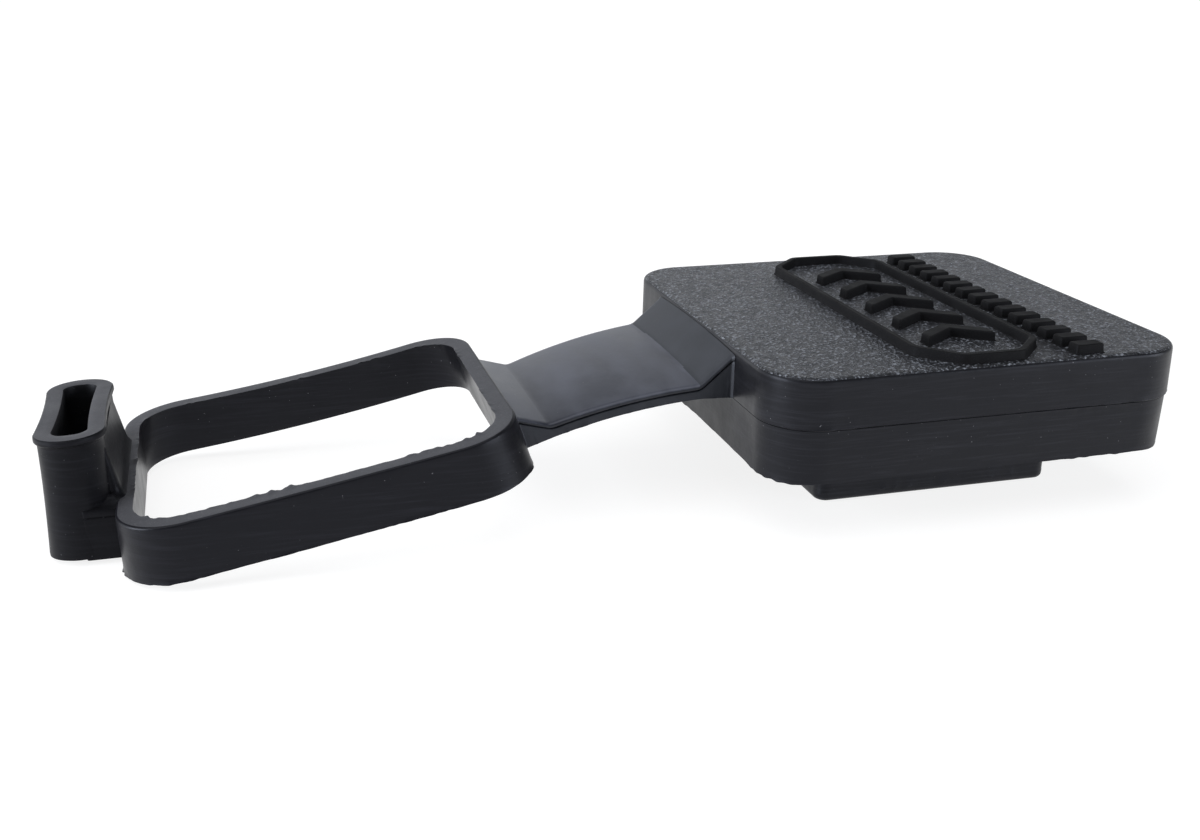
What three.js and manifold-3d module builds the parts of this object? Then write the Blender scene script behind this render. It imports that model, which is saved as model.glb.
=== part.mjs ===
// Moulded rubber cover for a square trailer-hitch receiver tube, with its tether strap, the ring
// that stays on the tube, and the holder for a flat trailer connector.
// Millimetres, +Z up. The origin is the centre of the plug's end face, on the surface the cover
// lies on. The cap is centred on the Z axis, and the strap, ring and holder lie towards -X.

import * as THREE from 'three';
import { mergeVertices } from 'three/addons/utils/BufferGeometryUtils.js';
import Module from 'manifold-3d';

const wasm = await Module();
wasm.setup();

// Cap: a solid face over a hollow skirt, which meet at the mould's parting plane.
const CAP_SIDE = 84;
const CAP_CORNER_RADIUS = 10.5;
const CAP_EDGE_RADIUS = 1;
const CAP_TOP = 31;
const PARTING_PLANE = 21.5;
const SKIRT_BOTTOM = 11.25;
const SKIRT_WALL = 4;

// Plug: a square tube for a 2 inch receiver, stiffened by a cross of webs.
const PLUG_SIDE = 50;
const PLUG_CORNER_RADIUS = 2.5;
const PLUG_EDGE_RADIUS = 1;
const PLUG_WALL = 5;
const PLUG_HOLLOW_RADIUS = 1.5;
const PLUG_WEB_THICKNESS = 3;

// Raised trim on the face.
const TRIM_HEIGHT = 1.75;
const BADGE_X = 0.5;
const BADGE_Y = -1.5;
const BADGE_LENGTH = 77;
const BADGE_WIDTH = 26;
const BADGE_CORNER_CUT = 7;
const BADGE_BORDER = 1.5;
const CHEVRON_COUNT = 5;
const CHEVRON_PITCH = 11.5;
const CHEVRON_SPAN = 14;
const CHEVRON_POINT = 5;
const CHEVRON_STROKE = 3.5;
const BAR_COUNT = 15;
const BAR_PITCH = 5.05;
const BAR_WIDTH = 3.1;
const BAR_LENGTH = 5.8;
const BAR_ROW_X = 20.2;
const BAR_ROW_Y = -3;

// Strap: an arch of even thickness between two wedges. Angles are measured at the arch's centre,
// from straight up towards -X.
const STRAP_CENTRE_X = -38.25;
const STRAP_CENTRE_Z = -88.25;
const STRAP_TOP_RADIUS = 113.75;
const STRAP_THICKNESS = 3.3;
const STRAP_START_ANGLE = 5.1;
const STRAP_END_ANGLE = 19.5;
const FIRST_HINGE_ANGLE = 7.2;
const HINGE_PITCH_ANGLE = 5.55;
const HINGE_HALF_GAP_ANGLE = 0.5;
const STRAP_WIDTH_AT_CAP = 42.5;
const STRAP_WIDTH_AT_RING = 37;
const CAP_WEDGE_TOP = 30;

// Tether ring: a rounded square loop, pitched with its strap end up. Its walls spread towards its
// underside, its long walls bow inwards, and its middle sags below its ends.
const RING_LENGTH = 70.25;
const RING_WIDTH = 64.25;
const RING_HEIGHT = 10.1;
const RING_CORNER_RADIUS = 11.5;
const RING_INNER_RADIUS = 8.75;
const RING_HOLDER_WALL = 2.9;
const RING_STRAP_WALL = 3.3;
const RING_SIDE_WALL = 3.6;
const RING_END_SPREAD = 0.9;
const RING_SIDE_SPREAD = 0.4;
const RING_BOW = 1.4;
const RING_SAG = 0.85;
const RING_SIDE_STEPS = 5;
const RING_CENTRE_X = -115.5;
const RING_CENTRE_Z = 5.85;
const RING_PITCH = THREE.MathUtils.degToRad(10.3);
const RING_WEDGE_TOP = 8;
const RING_WEDGE_BOTTOM = 1;

// Connector holder: an upright pocket with a waist and a lip, leaning slightly outwards.
const HOLDER_LENGTH = 35.3;
const HOLDER_WIDTH = 10.8;
const HOLDER_WAIST = 0.4;
const HOLDER_HEIGHT = 21.75;
const HOLDER_FLOOR = 2.5;
const LIP_HEIGHT = 1.3;
const LIP_OVERHANG = 0.6;
const SLOT_LENGTH = 29.5;
const SLOT_WIDTH = 5.75;
const SLOT_CORNER_RADIUS = 2.4;
const HOLDER_X = -156.9;
const HOLDER_Z = 0.5;
const HOLDER_LEAN = THREE.MathUtils.degToRad(2.6);

// Webs at the holder's two ends, and the ramp between them, that join it to the ring.
const WEB_INNER_Y = 12.75;
const WEB_OUTER_Y = 17.5;
const WEB_REACH = 8;
const WEB_BOTTOM = 0.6;
const WEB_TOP = 10;
const RAMP_LENGTH = 27;
const RAMP_FOOT = 11.3;
const RAMP_TOP = 20.5;
const RAMP_REACH = 6.6;
const RAMP_HEAD = 4.2;

const JOINT_GAP = 0.3;
const CUTTER_SIDE = 400;
const ARC_STEPS = 8;
const BEVEL_STEPS = 3;
const MERGE_DISTANCE = 1e-4;

function rubber(color, roughness) {
  return new THREE.MeshStandardMaterial({ color, roughness, metalness: 0 });
}

const GRAINED_RUBBER = () => rubber(0x2b2c2f, 0.85);
const SATIN_RUBBER = () => rubber(0x1b1c20, 0.5);
const TRIM_RUBBER = () => rubber(0x141416, 0.55);
const STRAP_RUBBER = () => rubber(0x34363b, 0.6);

function toSolid(geometry) {
  const positionsOnly = geometry.clone();
  positionsOnly.deleteAttribute('normal');
  positionsOnly.deleteAttribute('uv');
  const merged = mergeVertices(positionsOnly, MERGE_DISTANCE);
  const mesh = new wasm.Mesh({
    numProp: 3,
    vertProperties: merged.attributes.position.array,
    triVerts: Uint32Array.from(merged.index.array),
  });
  return new wasm.Manifold(mesh);
}

function toGeometry(solid) {
  const mesh = solid.getMesh();
  const geometry = new THREE.BufferGeometry();
  geometry.setAttribute('position', new THREE.BufferAttribute(mesh.vertProperties, 3));
  geometry.setIndex(new THREE.BufferAttribute(mesh.triVerts, 1));
  geometry.computeVertexNormals();
  return geometry;
}

function cut(geometry, ...cutters) {
  const left = cutters.reduce((solid, cutter) => solid.subtract(toSolid(cutter)), toSolid(geometry));
  return toGeometry(left);
}

function join(first, second) {
  return toGeometry(toSolid(first).add(toSolid(second)));
}

// A straight run to a point, in equal steps, so that the wall can be bent afterwards.
function steppedLine(outline, endX, endY, steps) {
  const start = outline.currentPoint.clone();
  const end = new THREE.Vector2(endX, endY);
  for (let i = 1; i <= steps; i += 1) {
    const point = start.clone().lerp(end, i / steps);
    outline.lineTo(point.x, point.y);
  }
}

// A rounded rectangle drawn anticlockwise on a Shape or a Path.
function roundedRectangle(outline, width, length, radius, centreX = 0, steps = 1) {
  const x = width / 2 - radius;
  const y = length / 2 - radius;
  const quarter = Math.PI / 2;
  outline.moveTo(centreX + x + radius, -y);
  steppedLine(outline, centreX + x + radius, y, steps);
  outline.absarc(centreX + x, y, radius, 0, quarter);
  steppedLine(outline, centreX - x, y + radius, steps);
  outline.absarc(centreX - x, y, radius, quarter, 2 * quarter);
  steppedLine(outline, centreX - x - radius, -y, steps);
  outline.absarc(centreX - x, -y, radius, 2 * quarter, 3 * quarter);
  steppedLine(outline, centreX + x, -y - radius, steps);
  outline.absarc(centreX + x, -y, radius, 3 * quarter, 4 * quarter);
  return outline;
}

function prism(shape, bottom, top) {
  const geometry = new THREE.ExtrudeGeometry(shape, {
    depth: top - bottom,
    bevelEnabled: false,
    curveSegments: ARC_STEPS,
  });
  return geometry.translate(0, 0, bottom);
}

// A square block whose ends and upright corners are rounded.
function roundedBlock(side, cornerRadius, edgeRadius, bottom, top) {
  const inset = side - 2 * edgeRadius;
  const shape = roundedRectangle(new THREE.Shape(), inset, inset, cornerRadius - edgeRadius);
  const geometry = new THREE.ExtrudeGeometry(shape, {
    depth: top - bottom - 2 * edgeRadius,
    bevelThickness: edgeRadius,
    bevelSize: edgeRadius,
    bevelSegments: BEVEL_STEPS,
    curveSegments: ARC_STEPS,
  });
  return geometry.translate(0, 0, bottom + edgeRadius);
}

function everythingBelow(height) {
  const box = new THREE.BoxGeometry(CUTTER_SIDE, CUTTER_SIDE, CUTTER_SIDE);
  return box.translate(0, 0, height - CUTTER_SIDE / 2);
}

function everythingAbove(height) {
  const box = new THREE.BoxGeometry(CUTTER_SIDE, CUTTER_SIDE, CUTTER_SIDE);
  return box.translate(0, 0, height + CUTTER_SIDE / 2);
}

// An outline in the XZ plane, given a width along Y.
function sideProfile(points, width) {
  const geometry = new THREE.ExtrudeGeometry(new THREE.Shape(points), {
    depth: width,
    bevelEnabled: false,
  });
  return geometry.translate(0, 0, -width / 2).rotateX(Math.PI / 2);
}

function facePlate() {
  const block = roundedBlock(
    CAP_SIDE, CAP_CORNER_RADIUS, CAP_EDGE_RADIUS, PARTING_PLANE - 2 * CAP_EDGE_RADIUS, CAP_TOP,
  );
  return cut(block, everythingBelow(PARTING_PLANE));
}

function rimSkirt() {
  const shape = roundedRectangle(new THREE.Shape(), CAP_SIDE, CAP_SIDE, CAP_CORNER_RADIUS);
  const cavity = CAP_SIDE - 2 * SKIRT_WALL;
  const cavityRadius = CAP_CORNER_RADIUS - SKIRT_WALL;
  shape.holes.push(roundedRectangle(new THREE.Path(), cavity, cavity, cavityRadius));
  return prism(shape, SKIRT_BOTTOM, PARTING_PLANE);
}

const PLUG_HOLLOW = PLUG_SIDE - 2 * PLUG_WALL;

function receiverPlug() {
  const block = roundedBlock(
    PLUG_SIDE, PLUG_CORNER_RADIUS, PLUG_EDGE_RADIUS, 0, PARTING_PLANE + 2 * PLUG_EDGE_RADIUS,
  );
  const hollowShape = roundedRectangle(
    new THREE.Shape(), PLUG_HOLLOW, PLUG_HOLLOW, PLUG_HOLLOW_RADIUS,
  );
  const hollow = prism(hollowShape, -1, CAP_TOP);
  return cut(block, hollow, everythingAbove(PARTING_PLANE));
}

function plugWeb() {
  const alongX = new THREE.BoxGeometry(PLUG_HOLLOW, PLUG_WEB_THICKNESS, PARTING_PLANE);
  const alongY = new THREE.BoxGeometry(PLUG_WEB_THICKNESS, PLUG_HOLLOW, PARTING_PLANE);
  return join(alongX, alongY).translate(0, 0, PARTING_PLANE / 2);
}

// A rectangle with its corners cut off, long side along Y.
function cutCornerRectangle(outline, width, length, corner) {
  const x = width / 2;
  const y = length / 2;
  outline.moveTo(x, corner - y);
  outline.lineTo(x, y - corner);
  outline.lineTo(x - corner, y);
  outline.lineTo(corner - x, y);
  outline.lineTo(-x, y - corner);
  outline.lineTo(-x, corner - y);
  outline.lineTo(corner - x, -y);
  outline.lineTo(x - corner, -y);
  outline.closePath();
  return outline;
}

function badgeBorder() {
  const shape = cutCornerRectangle(new THREE.Shape(), BADGE_WIDTH, BADGE_LENGTH, BADGE_CORNER_CUT);
  const innerCut = BADGE_CORNER_CUT - BADGE_BORDER * (2 - Math.SQRT2);
  shape.holes.push(cutCornerRectangle(
    new THREE.Path(), BADGE_WIDTH - 2 * BADGE_BORDER, BADGE_LENGTH - 2 * BADGE_BORDER, innerCut,
  ));
  return prism(shape, CAP_TOP, CAP_TOP + TRIM_HEIGHT);
}

// One chevron of the badge, pointing towards +Y.
function chevron() {
  const halfSpan = CHEVRON_SPAN / 2;
  const back = -(CHEVRON_POINT + CHEVRON_STROKE) / 2;
  const shape = new THREE.Shape();
  shape.moveTo(-halfSpan, back);
  shape.lineTo(0, back + CHEVRON_POINT);
  shape.lineTo(halfSpan, back);
  shape.lineTo(halfSpan, back + CHEVRON_STROKE);
  shape.lineTo(0, back + CHEVRON_POINT + CHEVRON_STROKE);
  shape.lineTo(-halfSpan, back + CHEVRON_STROKE);
  shape.closePath();
  return prism(shape, CAP_TOP, CAP_TOP + TRIM_HEIGHT);
}

function trimBar() {
  const bar = new THREE.BoxGeometry(BAR_LENGTH, BAR_WIDTH, TRIM_HEIGHT);
  return bar.translate(0, 0, CAP_TOP + TRIM_HEIGHT / 2);
}

// A point of the strap's side view, at an angle and at a depth below its top surface.
function strapPoint(angle, depth) {
  const radians = THREE.MathUtils.degToRad(angle);
  const radius = STRAP_TOP_RADIUS - depth;
  return new THREE.Vector2(
    STRAP_CENTRE_X - radius * Math.sin(radians),
    STRAP_CENTRE_Z + radius * Math.cos(radians),
  );
}

function strapWidth(angle) {
  const along = (angle - STRAP_START_ANGLE) / (STRAP_END_ANGLE - STRAP_START_ANGLE);
  return THREE.MathUtils.lerp(STRAP_WIDTH_AT_CAP, STRAP_WIDTH_AT_RING, along);
}

function hingeAngle(index) {
  return FIRST_HINGE_ANGLE + index * HINGE_PITCH_ANGLE;
}

function strapCapWedge() {
  const end = hingeAngle(0) - HINGE_HALF_GAP_ANGLE;
  const wall = -CAP_SIDE / 2;
  const outline = [
    new THREE.Vector2(wall, PARTING_PLANE),
    new THREE.Vector2(wall, CAP_WEDGE_TOP),
    strapPoint(STRAP_START_ANGLE, 0),
    strapPoint(end, 0),
    strapPoint(end, STRAP_THICKNESS),
    strapPoint(STRAP_START_ANGLE, STRAP_THICKNESS),
  ];
  return sideProfile(outline, STRAP_WIDTH_AT_CAP);
}

// One stretch of the strap, between two of its bending lines.
function strapStretch(index) {
  const start = hingeAngle(index) + HINGE_HALF_GAP_ANGLE;
  const end = hingeAngle(index + 1) - HINGE_HALF_GAP_ANGLE;
  const middle = (start + end) / 2;
  const outline = [
    strapPoint(start, STRAP_THICKNESS),
    strapPoint(start, 0),
    strapPoint(middle, 0),
    strapPoint(end, 0),
    strapPoint(end, STRAP_THICKNESS),
    strapPoint(middle, STRAP_THICKNESS),
  ];
  return sideProfile(outline, strapWidth(middle));
}

const RING_HALF_LENGTH = RING_LENGTH / 2;
const RING_HALF_WIDTH = RING_WIDTH / 2;
const RING_CURVATURE = 2 * RING_SAG / (RING_HALF_LENGTH * RING_HALF_LENGTH);

// Where a point of the straight, square ring lies once the walls spread, bow and sag.
function settledRingPoint(x, y, z) {
  const spread = 1 - z / RING_HEIGHT;
  const along = Math.min(1, Math.abs(x) / RING_HALF_LENGTH);
  const bow = RING_BOW * (1 - along * along);
  return new THREE.Vector3(
    x * (1 + RING_END_SPREAD * spread / RING_HALF_LENGTH - RING_CURVATURE * z),
    y * (1 + (RING_SIDE_SPREAD * spread - bow) / RING_HALF_WIDTH),
    z + RING_CURVATURE * x * x / 2,
  );
}

function settleRing(geometry) {
  const position = geometry.attributes.position;
  for (let i = 0; i < position.count; i += 1) {
    const point = settledRingPoint(position.getX(i), position.getY(i), position.getZ(i));
    position.setXYZ(i, point.x, point.y, point.z);
  }
  return geometry;
}

// A point beside the ring's strap-end wall, at a height above the ring's underside.
function ringWallPoint(height) {
  const point = settledRingPoint(RING_HALF_LENGTH + JOINT_GAP, 0, height);
  return new THREE.Vector2(
    RING_CENTRE_X + point.x * Math.cos(RING_PITCH) - point.z * Math.sin(RING_PITCH),
    RING_CENTRE_Z + point.x * Math.sin(RING_PITCH) + point.z * Math.cos(RING_PITCH),
  );
}

function strapRingWedge() {
  const start = hingeAngle(2) + HINGE_HALF_GAP_ANGLE;
  const outline = [
    strapPoint(start, STRAP_THICKNESS),
    strapPoint(start, 0),
    strapPoint(STRAP_END_ANGLE, 0),
    ringWallPoint(RING_WEDGE_TOP),
    ringWallPoint(RING_WEDGE_BOTTOM),
  ];
  return sideProfile(outline, STRAP_WIDTH_AT_RING);
}

function tetherRing() {
  const shape = roundedRectangle(
    new THREE.Shape(), RING_LENGTH, RING_WIDTH, RING_CORNER_RADIUS, 0, RING_SIDE_STEPS,
  );
  const windowLength = RING_LENGTH - RING_HOLDER_WALL - RING_STRAP_WALL;
  const windowWidth = RING_WIDTH - 2 * RING_SIDE_WALL;
  const windowCentre = (RING_HOLDER_WALL - RING_STRAP_WALL) / 2;
  shape.holes.push(roundedRectangle(
    new THREE.Path(), windowLength, windowWidth, RING_INNER_RADIUS, windowCentre, RING_SIDE_STEPS,
  ));
  return settleRing(prism(shape, 0, RING_HEIGHT));
}

// The holder's plan outline: round ends joined by slightly hollow flanks.
function holderShape(growth) {
  const radius = HOLDER_WIDTH / 2 + growth;
  const endY = (HOLDER_LENGTH - HOLDER_WIDTH) / 2;
  const waist = radius - 2 * HOLDER_WAIST;
  const shape = new THREE.Shape();
  shape.moveTo(radius, -endY);
  shape.quadraticCurveTo(waist, 0, radius, endY);
  shape.absarc(0, endY, radius, 0, Math.PI);
  shape.quadraticCurveTo(-waist, 0, -radius, -endY);
  shape.absarc(0, -endY, radius, Math.PI, 2 * Math.PI);
  return shape;
}

function connectorHolder() {
  const body = prism(holderShape(0), 0, HOLDER_HEIGHT);
  const lip = prism(holderShape(LIP_OVERHANG), HOLDER_HEIGHT - LIP_HEIGHT, HOLDER_HEIGHT);
  const slotShape = roundedRectangle(
    new THREE.Shape(), SLOT_WIDTH, SLOT_LENGTH, SLOT_CORNER_RADIUS,
  );
  const slot = prism(slotShape, HOLDER_FLOOR, HOLDER_HEIGHT + 1);
  return cut(join(body, lip), slot);
}

function placeAtRing(object) {
  object.position.set(RING_CENTRE_X, 0, RING_CENTRE_Z);
  object.rotation.y = -RING_PITCH;
}

function placeAtHolder(object) {
  object.position.set(HOLDER_X, 0, HOLDER_Z);
  object.rotation.y = -HOLDER_LEAN;
}

// The space that a neighbour takes up, with clearance, in the frame of the whole cover.
function clearanceBody(geometry, place) {
  const holder = new THREE.Object3D();
  place(holder);
  holder.updateMatrix();
  return geometry.applyMatrix4(holder.matrix);
}

function ringClearance() {
  const length = RING_LENGTH + 2 * JOINT_GAP;
  const width = RING_WIDTH + 2 * JOINT_GAP;
  const shape = roundedRectangle(
    new THREE.Shape(), length, width, RING_CORNER_RADIUS + JOINT_GAP, 0, RING_SIDE_STEPS,
  );
  const body = settleRing(prism(shape, -JOINT_GAP, RING_HEIGHT + JOINT_GAP));
  return clearanceBody(body, placeAtRing);
}

function holderClearance() {
  const shape = holderShape(JOINT_GAP);
  return clearanceBody(prism(shape, -HOLDER_HEIGHT, 2 * HOLDER_HEIGHT), placeAtHolder);
}

// The web at one end of the holder; side is -1 or 1 along Y.
function holderWeb(side) {
  const length = WEB_OUTER_Y - WEB_INNER_Y;
  const block = new THREE.BoxGeometry(WEB_REACH, length, WEB_TOP - WEB_BOTTOM);
  const middleY = side * (WEB_OUTER_Y + WEB_INNER_Y) / 2;
  block.translate(HOLDER_X + WEB_REACH / 2, middleY, (WEB_TOP + WEB_BOTTOM) / 2);
  return cut(block, holderClearance(), ringClearance());
}

// The ramp rises from the ring's top edge to the underside of the holder's lip.
function holderRamp() {
  const outline = [
    new THREE.Vector2(HOLDER_X, RAMP_FOOT),
    new THREE.Vector2(HOLDER_X + RAMP_REACH, RAMP_FOOT),
    new THREE.Vector2(HOLDER_X + RAMP_HEAD, RAMP_TOP),
    new THREE.Vector2(HOLDER_X, RAMP_TOP),
  ];
  return cut(sideProfile(outline, RAMP_LENGTH), holderClearance());
}

function addPart(parent, name, geometry, material) {
  const mesh = new THREE.Mesh(geometry, material);
  mesh.name = name;
  parent.add(mesh);
  return mesh;
}

function addTrim(parent) {
  addPart(parent, 'badge_border', badgeBorder(), TRIM_RUBBER()).position.set(BADGE_X, BADGE_Y, 0);
  for (let i = 0; i < CHEVRON_COUNT; i += 1) {
    const mesh = addPart(parent, `badge_chevron_${i + 1}`, chevron(), TRIM_RUBBER());
    mesh.position.set(BADGE_X, BADGE_Y + (i - (CHEVRON_COUNT - 1) / 2) * CHEVRON_PITCH, 0);
  }
  for (let i = 0; i < BAR_COUNT; i += 1) {
    const mesh = addPart(parent, `trim_bar_${i + 1}`, trimBar(), TRIM_RUBBER());
    mesh.position.set(BAR_ROW_X, BAR_ROW_Y + (i - (BAR_COUNT - 1) / 2) * BAR_PITCH, 0);
  }
}

function addCap(parent) {
  addPart(parent, 'face_plate', facePlate(), GRAINED_RUBBER());
  addPart(parent, 'rim_skirt', rimSkirt(), SATIN_RUBBER());
  addPart(parent, 'receiver_plug', receiverPlug(), SATIN_RUBBER());
  addPart(parent, 'plug_web', plugWeb(), SATIN_RUBBER());
  addTrim(parent);
}

function addStrap(parent) {
  addPart(parent, 'strap_cap_wedge', strapCapWedge(), STRAP_RUBBER());
  addPart(parent, 'strap_inner', strapStretch(0), STRAP_RUBBER());
  addPart(parent, 'strap_outer', strapStretch(1), STRAP_RUBBER());
  addPart(parent, 'strap_ring_wedge', strapRingWedge(), STRAP_RUBBER());
}

function addTether(parent) {
  placeAtRing(addPart(parent, 'tether_ring', tetherRing(), SATIN_RUBBER()));
  placeAtHolder(addPart(parent, 'connector_holder', connectorHolder(), SATIN_RUBBER()));
  addPart(parent, 'holder_web_near', holderWeb(-1), SATIN_RUBBER());
  addPart(parent, 'holder_web_far', holderWeb(1), SATIN_RUBBER());
  addPart(parent, 'holder_ramp', holderRamp(), SATIN_RUBBER());
}

const cover = new THREE.Group();
addCap(cover);
addStrap(cover);
addTether(cover);

export default cover;
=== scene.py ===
import math

import bmesh
import bpy
import numpy as np
from mathutils import Matrix, Vector


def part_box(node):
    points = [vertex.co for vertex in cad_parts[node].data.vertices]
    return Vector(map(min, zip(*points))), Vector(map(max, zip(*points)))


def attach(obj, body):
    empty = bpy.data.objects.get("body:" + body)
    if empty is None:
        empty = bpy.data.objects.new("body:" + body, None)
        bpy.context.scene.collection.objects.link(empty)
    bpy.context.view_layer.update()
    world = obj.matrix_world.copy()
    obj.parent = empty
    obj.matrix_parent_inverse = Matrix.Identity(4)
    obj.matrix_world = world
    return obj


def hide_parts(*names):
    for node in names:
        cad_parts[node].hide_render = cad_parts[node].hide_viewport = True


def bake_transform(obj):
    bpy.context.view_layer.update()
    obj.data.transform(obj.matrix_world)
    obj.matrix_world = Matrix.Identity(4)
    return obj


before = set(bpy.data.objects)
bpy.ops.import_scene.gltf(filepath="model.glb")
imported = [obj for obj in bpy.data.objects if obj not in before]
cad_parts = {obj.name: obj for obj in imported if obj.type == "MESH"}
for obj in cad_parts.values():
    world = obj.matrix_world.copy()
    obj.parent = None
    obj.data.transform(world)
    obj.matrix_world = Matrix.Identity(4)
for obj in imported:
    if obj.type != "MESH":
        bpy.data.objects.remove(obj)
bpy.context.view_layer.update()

# A tethered rubber cover for a square hitch receiver. Sizes are in millimetres and turn into
# metres where a mesh is made. Heights and widths come from the CAD nodes' boxes; the sizes
# below repeat the CAD's driving dimensions, or are finer than the CAD.
MM = 0.001

# Cap and plug.
CAP_CORNER_RADIUS = 10.5
CAP_EDGE_RADIUS = 1.0
CAP_DRAFT = 0.12
SKIRT_WALL = 4.0
SKIRT_STEP = 0.3
SKIRT_DRAFT = 0.25
PLUG_CORNER_RADIUS = 2.5
PLUG_EDGE_RADIUS = 1.0
PLUG_WALL = 5.0
PLUG_HOLLOW_RADIUS = 1.5
PLUG_WEB_THICKNESS = 3.0
PLUG_WEB_SINK = 0.4
SMALLEST_RADIUS = 0.3
# The grain starts this many bands up the face's edge radius.
GRAIN_START = 2

# Raised trim.
BADGE_CORNER_CUT = 7.0
BADGE_BORDER = 1.5
BADGE_EASE = 1.2
CHEVRON_COUNT = 5
CHEVRON_POINT = 5.0
CHEVRON_STROKE = 3.5
CHEVRON_EASE = 0.6
BAR_COUNT = 15
BAR_EASE = 0.5
TRIM_SINK = 0.15

# Strap. Angles are measured at the arch's centre, from straight up towards -X.
STRAP_CENTRE_X = -38.25
STRAP_CENTRE_Z = -88.25
STRAP_TOP_RADIUS = 113.75
STRAP_THICKNESS = 3.3
STRAP_START_ANGLE = 5.1
STRAP_END_ANGLE = 19.5
FIRST_HINGE_ANGLE = 7.2
HINGE_PITCH_ANGLE = 5.55
HINGE_COUNT = 3
STRAP_WIDTH_AT_CAP = 42.5
STRAP_WIDTH_AT_RING = 37.0
STRAP_LIP = 1.1
STRAP_GROOVE = 0.5
STRAP_STATION = 0.25
STRAP_CROWN = 0.6
STRAP_CREASE = 40
# Bands of a cross-section, counted from its middle, that belong to the strap's top.
STRAP_TOP_BANDS = 7
# The strap is a little wider where it runs into the cap and into the ring.
STRAP_FLARE = np.array([0.45, 0.25, 0.08])
WEDGE_STATIONS = 44
WEDGE_TOP_DROP = 0.5
# Cross-sections on each side over which the corners of the side view are eased.
TOP_SOFTENING = 4
BOTTOM_SOFTENING = 3

# Tether ring, with its strap end pitched up.
RING_LENGTH = 70.25
RING_WIDTH = 64.25
RING_HEIGHT = 10.1
RING_CORNER_RADIUS = 11.5
RING_INNER_RADIUS = 8.75
RING_HOLDER_WALL = 2.9
RING_STRAP_WALL = 3.3
RING_SIDE_WALL = 3.6
RING_END_SPREAD = 0.9
RING_SIDE_SPREAD = 0.4
RING_BOW = 1.4
RING_SAG = 0.85
RING_CENTRE_X = -115.5
RING_CENTRE_Z = 5.85
RING_PITCH = math.radians(10.3)
RING_EDGE_RADIUS = 0.45
RING_WEDGE_TOP = 8.0
RING_WEDGE_BOTTOM = 1.0

# Connector holder, leaning outwards and rolled a little towards its far end.
HOLDER_LENGTH = 35.3
HOLDER_WIDTH = 10.8
HOLDER_WAIST = 0.4
HOLDER_HEIGHT = 21.75
HOLDER_FLOOR = 2.5
HOLDER_FLARE = 1.2
HOLDER_FLARE_POWER = 1.6
LIP_HEIGHT = 1.2
LIP_OVERHANG = 0.5
SLOT_LENGTH = 29.5
SLOT_WIDTH = 5.75
SLOT_CORNER_RADIUS = 2.4
SLOT_WAIST = 0.35
HOLDER_X = -156.9
HOLDER_Z = 0.5
HOLDER_LEAN = math.radians(2.6)
HOLDER_ROLL = math.radians(1.6)
WEB_INSET = 2.4
WEB_OVERLAP = 1.2
WEB_CORNER = 0.4
WEB_FILLET_START = 14.2
WEB_FILLET_END = 14.9
WEB_FILLET_BACK = 2.2
WEB_FILLET_HEIGHT = 1.5
RAMP_BACK = 4.0
RAMP_HEAD = 4.35
RAMP_FOOT_OVERLAP = 0.15
RAMP_SINK = 1.3
RAMP_CORNER = 1.6
RAMP_FILLET_SHARE = 0.22
RAMP_FILLET_REACH = 0.9
RAMP_FILLET_WIDTH = 1.1
RAMP_TAPER = 0.8

# Torn flash and crumbs along the mould lines: how far they stand out at most.
FACE_FLASH = 0.22
SKIRT_FLASH = 0.16
SKIRT_HANG = 0.45
PLUG_FLASH = 0.15
STRAP_CRUMB = 0.2
RING_FOOT_FLASH = 0.4
RING_INNER_FLASH = 0.85
HOLDER_FOOT_FLASH = 0.35
HOLDER_LIP_FLASH = 0.22
# The shares of a flash line's height that stand everywhere and only in its tufts, and how
# strongly the tufts vary and how common they are.
FLASH_EVERYWHERE = 0.15
FLASH_IN_TUFTS = 0.85
TUFT_SPREAD = 1.2
TUFT_BIAS = 0.15

# Slow waves in the moulded walls.
CAP_WAVE = 0.05
RING_WAVE = 0.06

# Points round each outline, and along its corners and flanks before they are spaced evenly.
CAP_POINTS = 720
PLUG_POINTS = 480
RING_POINTS = 800
HOLDER_POINTS = 320
RAMP_POINTS = 160
WEB_POINTS = 96
CORNER_POINTS = 33
FLANK_POINTS = 25

# Camera, at the angle that the object is pictured from.
CAMERA_AT = Vector((-132.18, -240.87, 103.38)) * MM
CAMERA_AZIMUTH = math.radians(-16.41)
CAMERA_ELEVATION = math.radians(20.12)
CAMERA_ROLL = math.radians(-0.69)
CAMERA_LENS = 40.49
CAMERA_SENSOR = 36.0

# Floor, whose side is in metres, and lights.
FLOOR_SIDE = 16.0
FLOOR_CELLS = 16
FLOOR_GAP = 0.2
FLOOR_GLOW = 0.84
COOL = (0.9, 0.94, 1.0)

# Surround: (from, to, value at from, value at to), by height, by how far behind the object and
# by how far to its right.
WORLD_FADE = (0.16, 0.55, 1.35, 0.4)
WORLD_BEHIND = (-0.4, 0.5, 0.1, 1.0)
WORLD_RIGHT = (-0.2, 0.9, 1.0, 0.45)
WORLD_COLOR = (0.93, 0.96, 1.0)


# ---------------------------------------------------------------- outlines and lofts

def box_of(node):
    """A CAD node's lowest and highest corner, in millimetres."""
    low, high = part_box(node)
    return np.array(low) / MM, np.array(high) / MM


def resample(path, count):
    """count + 1 points at even steps along a path."""
    steps = np.linalg.norm(np.diff(path, axis=0), axis=1)
    length = np.concatenate([[0.0], np.cumsum(steps)])
    at = np.linspace(0.0, length[-1], count + 1)
    return np.stack([np.interp(at, length, path[:, axis]) for axis in range(2)], axis=1)


def four_quarters(quarter):
    """A whole anticlockwise loop from its quarter between the +X flank and the +Y end."""
    back = quarter[:0:-1]
    out = quarter[:-1]
    return np.vstack([out, back * [-1, 1], out * [-1, -1], back * [1, -1]])


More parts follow.
